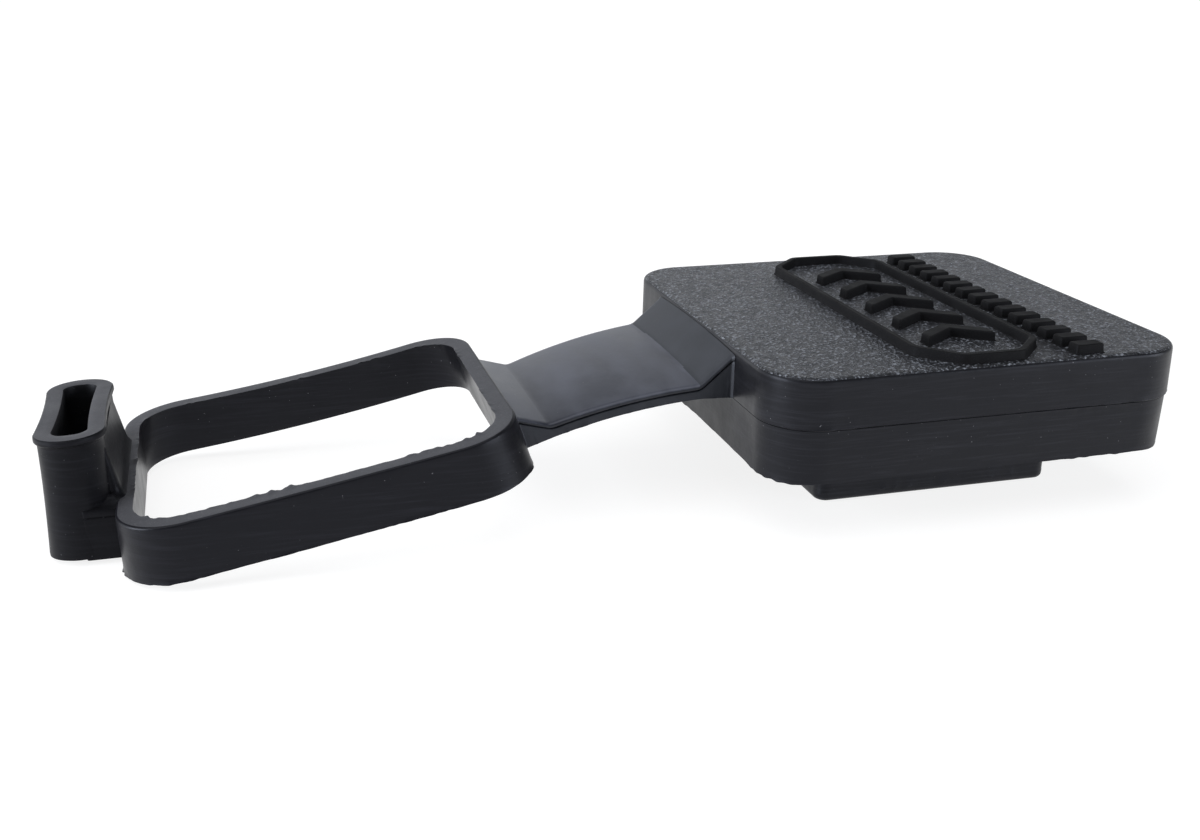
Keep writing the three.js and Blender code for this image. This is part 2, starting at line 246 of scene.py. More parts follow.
def rounded_rectangle(half_x, half_y, radius, count):
    """count points round a rectangle with round corners."""
    turn = np.linspace(0.0, math.pi / 2, CORNER_POINTS)
    corner = np.stack([
        half_x - radius + radius * np.cos(turn),
        half_y - radius + radius * np.sin(turn),
    ], axis=1)
    quarter = np.vstack([[half_x, 0.0], corner, [0.0, half_y]])
    return four_quarters(resample(quarter, count // 4))


def waisted_outline(half_width, half_length, corner, waist, count):
    """A long outline with round ends, whose flanks are drawn in by waist at the middle."""
    turn = np.linspace(0.0, math.pi / 2, CORNER_POINTS)
    end = half_length - corner
    flank_y = np.linspace(0.0, end, FLANK_POINTS)[:-1]
    flank_x = half_width - waist * (1 - (flank_y / end) ** 2)
    arc = np.stack([
        half_width - corner + corner * np.cos(turn),
        end + corner * np.sin(turn),
    ], axis=1)
    quarter = np.vstack([np.stack([flank_x, flank_y], axis=1), arc, [0.0, half_length]])
    return four_quarters(resample(quarter, count // 4))


def at_height(flat, height):
    """Plan points at a height, or each at its own height."""
    return np.column_stack([flat, np.broadcast_to(height, len(flat))])


def polygon_ring(corners, offset, corner_size, height, steps=3):
    """A polygon moved outwards by offset, with its corners eased over corner_size."""
    corners = np.array(corners, float)
    ahead = np.roll(corners, -1, axis=0) - corners
    ahead /= np.linalg.norm(ahead, axis=1)[:, None]
    behind = np.roll(ahead, 1, axis=0)
    normal_ahead = np.stack([ahead[:, 1], -ahead[:, 0]], axis=1)
    normal_behind = np.stack([behind[:, 1], -behind[:, 0]], axis=1)
    mitre = normal_ahead + normal_behind
    mitre *= (offset / (1 + (normal_ahead * normal_behind).sum(axis=1)))[:, None]
    moved = corners + mitre
    points = []
    for corner, back, forth in zip(moved, behind, ahead):
        start = corner - back * corner_size
        end = corner + forth * corner_size
        for t in np.linspace(0, 1, steps + 1):
            points.append((1 - t) ** 2 * start + 2 * t * (1 - t) * corner + t * t * end)
    return at_height(np.array(points), height)


def loft(rings, closed=False):
    """Points, faces and each face's band for a skin over rings of points.
    A closed loft joins its last ring to its first. An open one has a face over each end."""
    size = len(rings[0])
    count = len(rings)
    faces = []
    bands = []
    for band in range(count if closed else count - 1):
        low = band * size
        high = (band + 1) % count * size
        for i in range(size):
            j = (i + 1) % size
            faces.append((low + i, low + j, high + j, high + i))
            bands.append(band)
    if not closed:
        faces.append(tuple(range(size - 1, -1, -1)))
        faces.append(tuple(range((count - 1) * size, count * size)))
        bands += [0, count - 2]
    return np.vstack(rings), faces, bands


def wander(count, waves, rng):
    """A smooth random line round a loop, from -1 to 1, with that many waves."""
    knots = rng.uniform(-1, 1, waves)
    at = np.arange(count) * waves / count
    knot = at.astype(int)
    ease = (1 - np.cos((at - knot) * math.pi)) / 2
    return knots[knot % waves] * (1 - ease) + knots[(knot + 1) % waves] * ease


def torn(count, height, patches, rng):
    """How far a torn flash line stands out round a loop: mostly little, with short tufts."""
    fine = 0.5 + 0.5 * wander(count, count // 3, rng)
    patch = np.clip(TUFT_SPREAD * wander(count, patches, rng) + TUFT_BIAS, 0, 1)
    return height * (FLASH_EVERYWHERE * fine + FLASH_IN_TUFTS * patch * fine)


def make_piece(name, skin, materials, bands=None, crease=32):
    """A mesh object from a loft. bands gives a material number to each band that needs one,
    and edges that turn by more than crease degrees stay sharp."""
    points, faces, face_bands = skin
    mesh = bpy.data.meshes.new(name)
    mesh.from_pydata([tuple(p) for p in points * MM], [], faces)
    tidy = bmesh.new()
    tidy.from_mesh(mesh)
    bmesh.ops.recalc_face_normals(tidy, faces=tidy.faces)
    tidy.to_mesh(mesh)
    tidy.free()
    for material in materials:
        mesh.materials.append(material)
    if bands:
        for polygon, band in zip(mesh.polygons, face_bands):
            polygon.material_index = bands.get(band, 0)
    mesh.shade_smooth()
    mesh.set_sharp_from_angle(angle=math.radians(crease))
    piece = bpy.data.objects.new(name, mesh)
    bpy.context.scene.collection.objects.link(piece)
    return piece


def arc_rows(radius, steps):
    """(inset, drop) pairs round an edge radius, from the wall to the face."""
    turn = np.linspace(0.0, math.pi / 2, steps + 1)
    return [(radius * (1 - math.cos(t)), radius * (1 - math.sin(t))) for t in turn]


# ---------------------------------------------------------------- materials

# The rubber's shine is slightly blue.
SHINE_COLOR = (0.86, 0.89, 1.0)
# Noise mostly stays between these levels.
NOISE_RANGE = (0.3, 0.7)
# How fast a speck fades out, in noise levels: dust specks, and the painted glint specks on the
# grained face.
SPECK_EDGE = 0.04
# How much paler the streaks on a moulded wall are than the wall.
STREAK_PALENESS = 3.2


class Surface:
    """A node material under construction, with its coordinates in millimetres."""

    def __init__(self, name, color, roughness, specular):
        self.material = bpy.data.materials.new(name)
        self.material.use_nodes = True
        self.tree = self.material.node_tree
        self.shader = self.tree.nodes["Principled BSDF"]
        self.shader.inputs["Specular IOR Level"].default_value = specular
        self.shader.inputs["Specular Tint"].default_value = (*SHINE_COLOR, 1)
        self.color = color
        self.roughness = roughness
        self.place = self.add("ShaderNodeTexCoord").outputs["Object"]
        self.heights = []

    def add(self, kind, **values):
        """A new node with some of its properties set."""
        node = self.tree.nodes.new(kind)
        for key, value in values.items():
            setattr(node, key, value)
        return node

    def link(self, source, target):
        self.tree.links.new(source, target)

    def stretched(self, stretch):
        """Coordinates in millimetres, drawn out by the given factors."""
        mapping = self.add("ShaderNodeMapping")
        mapping.inputs["Scale"].default_value = [1 / (MM * s) for s in stretch]
        self.link(self.place, mapping.inputs["Vector"])
        return mapping.outputs["Vector"]

    def noise(self, size, detail=3.0, stretch=(1, 1, 1), roughness=0.55):
        """Noise whose lumps are about size millimetres across."""
        node = self.add("ShaderNodeTexNoise")
        node.inputs["Scale"].default_value = 1 / size
        node.inputs["Detail"].default_value = detail
        node.inputs["Roughness"].default_value = roughness
        self.link(self.stretched(stretch), node.inputs["Vector"])
        return node.outputs["Fac"]

    def ramp(self, value, low, high, out_low=0.0, out_high=1.0):
        """A value stretched from low..high to out_low..out_high, and clamped."""
        node = self.add("ShaderNodeMapRange")
        node.inputs["From Min"].default_value = low
        node.inputs["From Max"].default_value = high
        node.inputs["To Min"].default_value = out_low
        node.inputs["To Max"].default_value = out_high
        self.link(value, node.inputs["Value"])
        return node.outputs["Result"]

    def combine(self, operation, first, second):
        """Two values combined; each is a number or a socket."""
        node = self.add("ShaderNodeMath", operation=operation)
        for socket, value in zip(node.inputs, (first, second)):
            if isinstance(value, (int, float)):
                socket.default_value = value
            else:
                self.link(value, socket)
        return node.outputs["Value"]

    def mix(self, amount, first, second):
        """A colour between two; each is a colour or a socket."""
        node = self.add("ShaderNodeMix", data_type="RGBA")
        self.link(amount, node.inputs["Factor"])
        for socket, value in ((node.inputs[6], first), (node.inputs[7], second)):
            if isinstance(value, tuple):
                socket.default_value = (*value, 1)
            else:
                self.link(value, socket)
        return node.outputs[2]

    def tint(self, amount, color):
        """Turns the base colour towards another where amount is high."""
        self.color = self.mix(amount, self.color, color)

    def rise(self, value, height):
        """Adds a bump that many millimetres high."""
        self.heights.append(self.combine("MULTIPLY", value, height))

    def finish(self, roughness_spread, roughness_noise):
        """Wires colour, roughness and bump, and returns the material."""
        rough = self.ramp(
            roughness_noise, *NOISE_RANGE,
            self.roughness - roughness_spread, self.roughness + roughness_spread,
        )
        self.link(rough, self.shader.inputs["Roughness"])
        if isinstance(self.color, tuple):
            self.shader.inputs["Base Color"].default_value = (*self.color, 1)
        else:
            self.link(self.color, self.shader.inputs["Base Color"])
        total = self.heights[0]
        for height in self.heights[1:]:
            total = self.combine("ADD", total, height)
        bump = self.add("ShaderNodeBump")
        bump.inputs["Strength"].default_value = 1.0
        bump.inputs["Distance"].default_value = MM
        self.link(total, bump.inputs["Height"])
        self.link(bump.outputs["Normal"], self.shader.inputs["Normal"])
        return self.material


def dust_and_glint_specks(surface, size, share, color):
    """Small pale specks, as dust and mould residue leave on rubber; on the grained face they are
    painted glints of light.
    """
    specks = surface.noise(size, detail=1.0)
    surface.tint(surface.ramp(specks, 1 - share, 1 - share + SPECK_EDGE), color)


def grained_rubber_painted_glints():
    """The face's pebble grain, with paler tops and pale bluish specks painted on as glints of
    light.
    """
    surface = Surface(
        "grained_rubber_painted_glints", color=(0.005, 0.0052, 0.006), roughness=0.4, specular=0.62,
    )
    pebbles = surface.noise(0.52, detail=1.5, roughness=0.5)
    swell = surface.noise(1.8, detail=2.0)
    surface.rise(surface.ramp(pebbles, 0.42, 0.6), 0.26)
    surface.rise(swell, 0.1)
    # Painted highlight: the pebble tops are coloured paler, as glints of light on them.
    surface.tint(surface.ramp(pebbles, 0.5, 0.6), (0.037, 0.04, 0.048))
    # Painted glints: pale bluish specks the size of the pebbles.
    dust_and_glint_specks(surface, size=0.52, share=0.39, color=(0.18, 0.193, 0.22))
    return surface.finish(0.08, swell)


def satin_rubber(name, color, roughness, specular, streak_height=0.012):
    """Moulded walls: satin, with faint level streaks from the mould and a little dust."""
    surface = Surface(name, color, roughness, specular)
    streaks = surface.noise(0.45, detail=4.0, stretch=(26, 26, 1), roughness=0.6)
    clouds = surface.noise(9.0, detail=3.0)
    fine = surface.noise(0.3, detail=3.0)
    surface.rise(streaks, streak_height)
    surface.rise(clouds, 0.15)
    surface.rise(fine, 0.008)
    paler = tuple(STREAK_PALENESS * c for c in color)
    streaked = surface.ramp(streaks, 0.48, 0.75)
    surface.tint(surface.combine("MULTIPLY", streaked, clouds), paler)
    dust_and_glint_specks(surface, size=0.5, share=0.23, color=(0.11, 0.11, 0.12))
    return surface.finish(0.07, clouds)


def strap_rubber():
    """The strap's smooth top, its colour painted lighter and bluer as a sheen, with soft smears and
    flow marks across it.
    """
    # Painted sheen: the top's colour is lighter and bluer than the rest of the rubber's.
    surface = Surface(
        "strap_rubber", color=(0.024, 0.026, 0.036), roughness=0.34, specular=0.5,
    )
    smears = surface.noise(8.0, detail=4.0, stretch=(1, 2.0, 1))
    marks = surface.noise(0.5, detail=3.0, stretch=(1, 14, 1))
    fine = surface.noise(0.2, detail=2.0)
    surface.rise(smears, 0.12)
    surface.rise(marks, 0.006)
    surface.rise(fine, 0.004)
    # Painted sheen over real smears: the smears turn the colour paler and bluer still.
    surface.tint(surface.ramp(smears, 0.38, 0.66), (0.058, 0.062, 0.08))
    dust_and_glint_specks(surface, size=0.4, share=0.215, color=(0.14, 0.14, 0.15))
    return surface.finish(0.06, smears)


def wedge_rubber_painted_shade():
    """The strap's wedge at the cap: the same rubber, flatter, with its colour painted darker as
    shade.
    """
    # Painted shade: a darker copy of the strap top's colour.
    surface = Surface(
        "wedge_rubber_painted_shade", color=(0.013, 0.0147, 0.0185), roughness=0.5, specular=0.4,
    )
    smears = surface.noise(6.0, detail=4.0)
    fine = surface.noise(0.3, detail=3.0)
    surface.rise(smears, 0.03)
    surface.rise(fine, 0.01)
    surface.tint(surface.ramp(smears, 0.4, 0.75), (0.028, 0.03, 0.036))
    dust_and_glint_specks(surface, size=0.4, share=0.22, color=(0.1, 0.1, 0.11))
    return surface.finish(0.05, smears)


def trim_rubber():
    """The raised trim: blacker and duller than the grained face."""
    surface = Surface(
        "trim_rubber", color=(0.0075, 0.0075, 0.008), roughness=0.55, specular=0.06,
    )
    fine = surface.noise(0.3, detail=3.0)
    clouds = surface.noise(4.0, detail=2.0)
    surface.rise(fine, 0.012)
    surface.tint(surface.ramp(fine, 0.55, 0.8), (0.014, 0.014, 0.015))
    return surface.finish(0.06, clouds)


def matt_rubber():
    """Flat upper edges: paler than the walls, finely scuffed and matt, with dust specks."""
    surface = Surface(
        "matt_rubber", color=(0.042, 0.042, 0.047), roughness=0.58, specular=0.5,
    )
    scuffs = surface.noise(0.4, detail=4.0, roughness=0.7)
    clouds = surface.noise(6.0, detail=3.0)
    surface.rise(scuffs, 0.02)
    surface.tint(surface.ramp(scuffs, 0.5, 0.75), (0.07, 0.07, 0.077))
    dust_and_glint_specks(surface, size=0.3, share=0.25, color=(0.16, 0.16, 0.17))
    return surface.finish(0.06, clouds)


def floor_material():
    """A plain white panel with a glow of its own, like a light table."""
    surface = Surface("floor_panel", color=(0.25, 0.25, 0.25), roughness=0.8, specular=0.1)
    surface.shader.inputs["Emission Color"].default_value = (1, 1, 1, 1)
    surface.shader.inputs["Emission Strength"].default_value = FLOOR_GLOW
    tooth = surface.noise(60.0, detail=2.0)
    surface.rise(tooth, 0.01)
    surface.tint(tooth, (0.27, 0.27, 0.27))
    return surface.finish(0.02, tooth)


GRAINED_PAINTED_GLINTS = grained_rubber_painted_glints()
SIDE = satin_rubber(
    "side_rubber", color=(0.007, 0.0071, 0.0088), roughness=0.37, specular=0.2,
)
RING_SIDE = satin_rubber(
    "ring_rubber", color=(0.0055, 0.0055, 0.0072), roughness=0.35, specular=0.18,
    streak_height=0.02,
)
HOLDER_SIDE = satin_rubber(
    "holder_rubber", color=(0.0048, 0.0048, 0.006), roughness=0.42, specular=0.12,
)
SLOT_SIDE = satin_rubber(
    "slot_rubber", color=(0.006, 0.006, 0.007), roughness=0.6, specular=0.2,
)
STRAP_PAINTED_SHEEN = strap_rubber()
WEDGE_PAINTED_SHADE = wedge_rubber_painted_shade()
TRIM = trim_rubber()
MATT = matt_rubber()


# ---------------------------------------------------------------- cap

def square_row(half, radius, inset, height, count, push=0.0):
    """One level line round a rounded square; push moves each point outwards."""
    corner = max(radius - inset, SMALLEST_RADIUS)
    flat = rounded_rectangle(half - inset, half - inset, corner, count)
    along = np.roll(flat, -1, axis=0) - np.roll(flat, 1, axis=0)
    along /= np.linalg.norm(along, axis=1)[:, None]
    outward = np.stack([along[:, 1], -along[:, 0]], axis=1)
    flat = flat + outward * np.broadcast_to(push, len(flat))[:, None]
    return at_height(flat, height)


def cap_face():
    """The grained face, down to the parting line."""
    low, high = box_of("face_plate")
    half = high[0]
    top = high[2]
    bottom = low[2]
    rng = np.random.default_rng(seed=3)
    flash = torn(CAP_POINTS, FACE_FLASH, patches=23, rng=rng)
    wave = CAP_WAVE * wander(CAP_POINTS, waves=9, rng=rng)

    def row(inset, height, push=0.0):
        return square_row(half, CAP_CORNER_RADIUS, inset, height, CAP_POINTS, push)

    rows = [row(20.0, bottom), row(3.0, bottom), row(0.25, bottom, flash)]
    rows.append(row(0.0, bottom + 0.2, 0.5 * flash))
    rows.append(row(0.0, bottom + 0.5, wave))
    for share in (0.25, 0.5, 0.75, 1.0):
        rise = (top - bottom - CAP_EDGE_RADIUS - 0.4) * share
        rows.append(row(CAP_DRAFT * share, bottom + 0.4 + rise, wave * (1 - share)))
    wall_rows = len(rows)
    for inset, drop in arc_rows(CAP_EDGE_RADIUS, 6)[1:]:
        rows.append(row(CAP_DRAFT + inset, top - drop))
    for inset in (1.6, 2.6, 4.0, 7.0, 12.0, 20.0, 30.0, 38.0):
        rows.append(row(inset, top))
    grained = {band: 1 for band in range(wall_rows + GRAIN_START, len(rows))}
    piece = make_piece("cap_face", loft(rows), [SIDE, GRAINED_PAINTED_GLINTS], grained)
    return finish_piece(piece, "cap", "face_rubber", "face_plate")


def cap_skirt():
    """The hollow skirt below the parting line, with crumbs of flash along its foot."""
    low, high = box_of("rim_skirt")
    half = high[0]
    top = high[2]
    bottom = low[2]
    rng = np.random.default_rng(seed=5)
    hang = torn(CAP_POINTS, SKIRT_HANG, patches=43, rng=rng)
    flash = torn(CAP_POINTS, SKIRT_FLASH, patches=31, rng=rng)
    wave = CAP_WAVE * wander(CAP_POINTS, waves=11, rng=rng)

    def row(inset, height, push=0.0):
        return square_row(half, CAP_CORNER_RADIUS, inset, height, CAP_POINTS, push)

    foot = SKIRT_STEP + SKIRT_DRAFT
    rows = [row(foot + 0.35, bottom - 0.3 * hang), row(foot, bottom - hang + 0.1, 0.4 * hang)]
    rows.append(row(foot, bottom + 0.4))
    for share in (0.25, 0.5, 0.75, 0.94):
        height = bottom + (top - bottom) * share
        rows.append(row(foot - SKIRT_DRAFT * share, height, wave * (1 - abs(2 * share - 1))))
    rows.append(row(SKIRT_STEP, top - 0.18, flash))
    rows.append(row(SKIRT_STEP + 0.15, top))
    rows.append(row(SKIRT_WALL, top))
    for share in (0.9, 0.6, 0.3):
        rows.append(row(SKIRT_WALL - 0.1 * (1 - share), bottom + (top - bottom) * share))
    for inset, drop in arc_rows(0.5, 3):
        rows.append(row(SKIRT_WALL - 0.1 - inset, bottom + drop * 0.9))
    piece = make_piece("cap_skirt", loft(rows, closed=True), [SIDE])
    return finish_piece(piece, "cap", "side_rubber", "rim_skirt")


def receiver_plug():
    """The plug's four walls round its hollow."""
    low, high = box_of("receiver_plug")
    half = high[0]
    top = high[2]
    bottom = low[2]
    hollow = half - PLUG_WALL
    rng = np.random.default_rng(seed=7)
    flash = torn(PLUG_POINTS, PLUG_FLASH, patches=29, rng=rng)

    def row(inset, height, push=0.0):
        return square_row(half, PLUG_CORNER_RADIUS, inset, height, PLUG_POINTS, push)

    def hollow_row(growth, height):
        return square_row(hollow, PLUG_HOLLOW_RADIUS, -growth, height, PLUG_POINTS)

    rows = [row(inset, bottom + drop) for inset, drop in arc_rows(PLUG_EDGE_RADIUS, 5)[::-1]]
    rows.append(row(0.0, bottom + 1.6, flash))
    rows.append(row(0.02, bottom + 1.9))
    for share in (0.3, 0.6, 1.0):
        rows.append(row(0.08 * share, bottom + (top - bottom) * share))
    for share in (1.0, 0.6, 0.3):
        rows.append(hollow_row(0.1 * (1 - share), bottom + (top - bottom) * share))
    for inset, drop in arc_rows(0.6, 3):
        rows.append(hollow_row(0.1 + inset, bottom + drop))
    piece = make_piece("plug_walls", loft(rows, closed=True), [SIDE])
    return finish_piece(piece, "cap", "side_rubber", "receiver_plug")


def plug_cross():
    """The cross of webs in the plug's hollow, sunk a little into the plug's walls."""
    low, high = box_of("plug_web")
    reach = high[0] + PLUG_WEB_SINK
    half = PLUG_WEB_THICKNESS / 2
    corners = []
    for turn in range(4):
        c = round(math.cos(turn * math.pi / 2))
        s = round(math.sin(turn * math.pi / 2))
        for x, y in ((half, -half), (reach, -half), (reach, half)):
            corners.append((c * x - s * y, s * x + c * y))
    profile = [(-0.5, 0.25), (-0.2, 0.35), (0.0, 0.75), (0.05, 4.0), (0.15, high[2])]
    rows = [polygon_ring(corners, offset, 0.45, low[2] + height, steps=4)
            for offset, height in profile]
    piece = make_piece("plug_cross", loft(rows), [SIDE])
    return finish_piece(piece, "cap", "side_rubber", "plug_web")


# ---------------------------------------------------------------- trim

def trim_profile(foot, top):
    """(offset, height) pairs from the flared foot of a raised shape to its eased top edge."""
    return [
        (0.3, foot - TRIM_SINK), (0.22, foot), (0.07, foot + 0.12), (0.0, foot + 0.35),
        (-0.06, top - 0.32), (-0.13, top - 0.12), (-0.3, top),
    ]


def raised_shape(name, node, corners, corner_size):
    """A solid raised shape on the face."""
    low, high = box_of(node)
    rows = [polygon_ring(corners, offset, corner_size, height)
            for offset, height in trim_profile(low[2], high[2])]
    rows.append(polygon_ring(corners, -0.5, corner_size, high[2]))
    piece = make_piece(name, loft(rows), [TRIM])
    return finish_piece(piece, "cap", "trim_rubber", node)


def cut_corner_rectangle(centre, half_x, half_y, corner):
    """The corners of a rectangle whose own corners are cut off."""
    x, y = centre
    return [
        (x + half_x, y - half_y + corner), (x + half_x, y + half_y - corner),
        (x + half_x - corner, y + half_y), (x - half_x + corner, y + half_y),
        (x - half_x, y + half_y - corner), (x - half_x, y - half_y + corner),
        (x - half_x + corner, y - half_y), (x + half_x - corner, y - half_y),
    ]


def badge_frame():
    """The raised frame round the chevrons."""
    low, high = box_of("badge_border")
    centre = ((low[0] + high[0]) / 2, (low[1] + high[1]) / 2)
    half_x = (high[0] - low[0]) / 2
    half_y = (high[1] - low[1]) / 2
    inner_cut = BADGE_CORNER_CUT - BADGE_BORDER * (2 - math.sqrt(2))
    outer = cut_corner_rectangle(centre, half_x, half_y, BADGE_CORNER_CUT)
    inner = cut_corner_rectangle(
        centre, half_x - BADGE_BORDER, half_y - BADGE_BORDER, inner_cut,
    )
    profile = trim_profile(low[2], high[2])
    rows = [polygon_ring(outer, offset, BADGE_EASE, height) for offset, height in profile]
    rows += [polygon_ring(inner, -offset, BADGE_EASE, height)
             for offset, height in profile[::-1]]
    piece = make_piece("badge_frame", loft(rows, closed=True), [TRIM])
    return finish_piece(piece, "cap", "trim_rubber", "badge_border")


def badge_chevron(number):
    """One of the row of chevrons, which points towards +Y."""
    node = f"badge_chevron_{number}"
    low, high = box_of(node)
    back = low[1]
    middle = (low[0] + high[0]) / 2
    corners = [
        (low[0], back), (middle, back + CHEVRON_POINT), (high[0], back),
        (high[0], back + CHEVRON_STROKE), (middle, back + CHEVRON_POINT + CHEVRON_STROKE),
        (low[0], back + CHEVRON_STROKE),
    ]
    return raised_shape(f"raised_chevron_{number}", node, corners, CHEVRON_EASE)


def trim_bar(number):
    """One of the row of bars beside the frame."""
    node = f"trim_bar_{number}"
    low, high = box_of(node)
    corners = [(low[0], low[1]), (high[0], low[1]), (high[0], high[1]), (low[0], high[1])]
    return raised_shape(f"raised_bar_{number}", node, corners, BAR_EASE)


# ---------------------------------------------------------------- strap

def ring_placed(points):
    """The pitched ring's frame to the frame of the whole cover."""
    pitch = Matrix.Rotation(-RING_PITCH, 3, "Y")
    return points @ np.array(pitch).T + [RING_CENTRE_X, 0.0, RING_CENTRE_Z]


def ring_settled(points):
    """The straight ring's walls spread, bowed and sagged into their worn shape."""
    x, y, z = points.T
    half_length = RING_LENGTH / 2
    curvature = 2 * RING_SAG / half_length ** 2
    spread = 1 - z / RING_HEIGHT
    along = np.minimum(1, np.abs(x) / half_length)
    bow = RING_BOW * (1 - along ** 2)
    return np.column_stack([
        x * (1 + RING_END_SPREAD * spread / half_length - curvature * z),
        y * (1 + (RING_SIDE_SPREAD * spread - bow) / (RING_WIDTH / 2)),
        z + curvature * x * x / 2,
    ])


def ring_wall_point(height):
    """The side view of the ring's strap-end wall, at a height above the ring's underside."""
    point = ring_placed(ring_settled(np.array([[RING_LENGTH / 2, 0.0, height]])))[0]
    return point[[0, 2]]


def strap_point(angle, depth):
    """The side view of the strap, at an angle and at a depth below its top."""
    turn = math.radians(angle)
    radius = STRAP_TOP_RADIUS - depth
    return np.array([
        STRAP_CENTRE_X - radius * math.sin(turn),
        STRAP_CENTRE_Z + radius * math.cos(turn),
    ])


def softened(path, reach):
    """A path whose corners are eased over a few points each side; its ends stay."""
    padded = np.vstack([path[:1]] * reach + [path] + [path[-1:]] * reach)
    kernel = np.ones(2 * reach + 1) / (2 * reach + 1)
    eased = np.stack([np.convolve(padded[:, axis], kernel, "valid") for axis in range(2)], axis=1)
    eased[0] = path[0]
    eased[-1] = path[-1]
    return eased


def straight(start, end, count):
    """count points at even steps from start, without the end."""
    return np.linspace(start, end, count + 1)[:-1]


def strap_stations():
    """Top point, bottom point and half width of each cross-section, from cap to ring."""
    wall = box_of("strap_cap_wedge")[1][0]
    face_low, face_high = box_of("face_plate")
    parting = face_low[2]
    cap_top = face_high[2]
    arc_length = STRAP_TOP_RADIUS * math.radians(STRAP_END_ANGLE - STRAP_START_ANGLE)
    arc_count = int(arc_length / STRAP_STATION)
    angles = np.linspace(STRAP_START_ANGLE, STRAP_END_ANGLE, arc_count + 1)
    top = np.vstack([
        straight(
            (wall, cap_top - WEDGE_TOP_DROP), strap_point(STRAP_START_ANGLE, 0), WEDGE_STATIONS,
        ),
        [strap_point(angle, 0) for angle in angles[:-1]],
        straight(
            strap_point(STRAP_END_ANGLE, 0), ring_wall_point(RING_WEDGE_TOP), WEDGE_STATIONS,
        ),
        [ring_wall_point(RING_WEDGE_TOP)],
    ])
    bottom = np.vstack([
        straight(
            (wall, parting), strap_point(STRAP_START_ANGLE, STRAP_THICKNESS), WEDGE_STATIONS,
        ),
        [strap_point(angle, STRAP_THICKNESS) for angle in angles[:-1]],
        straight(
            strap_point(STRAP_END_ANGLE, STRAP_THICKNESS),
            ring_wall_point(RING_WEDGE_BOTTOM), WEDGE_STATIONS,
        ),
        [ring_wall_point(RING_WEDGE_BOTTOM)],
    ])
    along = np.concatenate([
        np.zeros(WEDGE_STATIONS), straight(0, 1, arc_count), np.ones(WEDGE_STATIONS + 1),
    ])
    half_width = (STRAP_WIDTH_AT_CAP + (STRAP_WIDTH_AT_RING - STRAP_WIDTH_AT_CAP) * along) / 2
    half_width[:len(STRAP_FLARE)] += STRAP_FLARE
    half_width[-len(STRAP_FLARE):] += STRAP_FLARE[::-1]
    return softened(top, TOP_SOFTENING), softened(bottom, BOTTOM_SOFTENING), half_width


def crown_drop(across, down):
    """How far the slightly crowned top falls away, less and less towards the underside."""
    return STRAP_CROWN * across ** 2 * (1 - down)


def strap_section(top, bottom, half_width, crumb):
    """A cross-section of the strap: a thin rounded lip over a groove, then the plain side."""
    down = bottom - top
    thickness = np.linalg.norm(down)
    down = down / thickness
    half = [
        (0.12 * half_width, 0.0), (0.35 * half_width, 0.0), (0.55 * half_width, 0.0),
        (half_width - 6.0, 0.0), (half_width - 1.2, 0.0), (half_width - 0.45, 0.03),
        (half_width - 0.16, 0.16), (half_width - 0.03, 0.42), (half_width, 0.7),
        (half_width - 0.03, STRAP_LIP - 0.22), (half_width - 0.14, STRAP_LIP - 0.08),
        (half_width - STRAP_GROOVE, STRAP_LIP), (half_width - STRAP_GROOVE, STRAP_LIP + 0.16),
        (half_width - 0.14, STRAP_LIP + 0.34), (half_width - 0.08, STRAP_LIP + 0.6),
        (half_width - 0.1, thickness - 0.5), (half_width - 0.06 + crumb, thickness - 0.12),
        (half_width - 0.3, thickness), (half_width - 1.5, thickness), (half_width - 6.0, thickness),
    ]
    half = [(y, depth + crown_drop(y / half_width, depth / thickness)) for y, depth in half]
    loop = [(-y, depth) for y, depth in half] + half[::-1]
    ring = []
    for y, depth in loop:
        x, z = top + down * depth
        ring.append((x, y, z))
    return np.array(ring)


def strap_seams():
    """Angles of the middles of the stretches between bending lines, where the strap is cut."""
    return [FIRST_HINGE_ANGLE + HINGE_PITCH_ANGLE * (i + 0.5) for i in range(HINGE_COUNT - 1)]


def nearest_station(top, angle):
    """The number of the cross-section nearest to an angle."""
    return int(np.argmin(np.linalg.norm(top - strap_point(angle, 0), axis=1)))


def strap_pieces():
    """The strap in three pieces, each of which spans one bending line."""
    top, bottom, half_width = strap_stations()
    rng = np.random.default_rng(seed=11)
    crumb = torn(len(top), STRAP_CRUMB, patches=21, rng=rng)
    rings = [strap_section(t, b, w, c) for t, b, w, c in zip(top, bottom, half_width, crumb)]
    seams = [nearest_station(top, angle) for angle in strap_seams()]
    cuts = [0, *seams, len(top) - 1]
    stands_for = [["strap_cap_wedge"], ["strap_inner"], ["strap_outer", "strap_ring_wedge"]]
    names = ["strap_cap_end", "strap_middle", "strap_ring_end"]
    for i, name in enumerate(names):
        skin = loft(rings[cuts[i]:cuts[i + 1] + 1])
        piece = make_piece(name, skin, [STRAP_PAINTED_SHEEN, SIDE, WEDGE_PAINTED_SHADE], crease=STRAP_CREASE)
        paint_strap(piece, len(rings[0]))
        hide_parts(*stands_for[i])
        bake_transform(piece)


def paint_strap(piece, size):
    """Gives the strap's sides, underside and cap wedge the flatter rubber, painted darker as shade,
    and its ends the side rubber. size is the number of points round a cross-section."""
    end_rubber = 1
    # The flatter rubber is the strap's rubber painted darker as shade.
    flatter_painted_shade = 2
    crease_x = strap_point(STRAP_START_ANGLE, 0)[0] * MM
    top_edges = {*range(STRAP_TOP_BANDS), *range(size - STRAP_TOP_BANDS - 1, size)}
    for polygon in piece.data.polygons:
        if len(polygon.vertices) > 4:
            polygon.material_index = end_rubber
            continue
        places = sorted(v % size for v in polygon.vertices)
        first = places[0] if places[-1] - places[0] < size // 2 else size - 1
        if first not in top_edges or polygon.center.x > crease_x:
            polygon.material_index = flatter_painted_shade


# ---------------------------------------------------------------- ring

